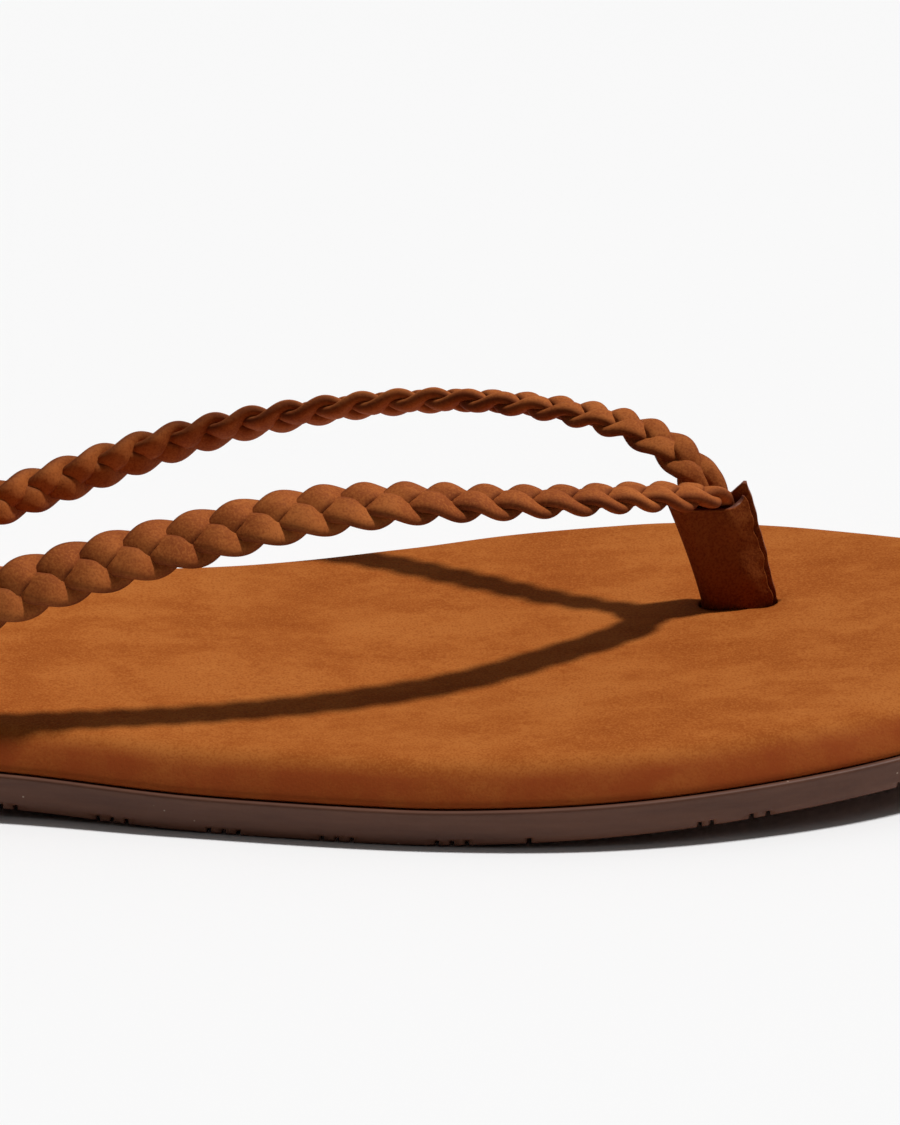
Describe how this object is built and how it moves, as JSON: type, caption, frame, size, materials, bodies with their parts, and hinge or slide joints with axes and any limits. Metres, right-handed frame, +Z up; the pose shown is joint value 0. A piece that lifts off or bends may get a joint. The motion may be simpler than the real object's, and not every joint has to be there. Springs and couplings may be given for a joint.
{
  "type": "flip flop",
  "caption": "Flat leather thong sandal for the right foot with braided side straps, a folded leather toe post and a thin rubber outsole.",
  "frame": {"origin": "middle of the sole's bounding box, on the ground", "axes": "+X from heel to toe, +Y to the inner side of the right foot, +Z up"},
  "size_m": [0.2572, 0.0844, 0.0351],
  "materials": {
    "sole_rubber": "satin dark brown moulded rubber",
    "filler_foam": "matt cream foam, hidden",
    "fibre_board": "matt pressed fibre board, hidden",
    "cushion_foam": "matt cream foam, hidden",
    "footbed_nubuck": "matt tan nubuck with a fine nap",
    "post_leather": "matt tan leather with raw cut edges",
    "strap_leather": "soft matt tan leather"
  },
  "bodies": {
    "root": {"outsole": "sole_rubber", "midsole_filler": "filler_foam", "insole_board": "fibre_board", "footbed_foam": "cushion_foam", "footbed_cover": "footbed_nubuck", "toe_post_sleeve": "post_leather", "lateral_strand_1": "strap_leather", "lateral_strand_2": "strap_leather", "lateral_strand_3": "strap_leather", "medial_strand_1": "strap_leather", "medial_strand_2": "strap_leather", "medial_strand_3": "strap_leather"}
  },
  "joints": []
}
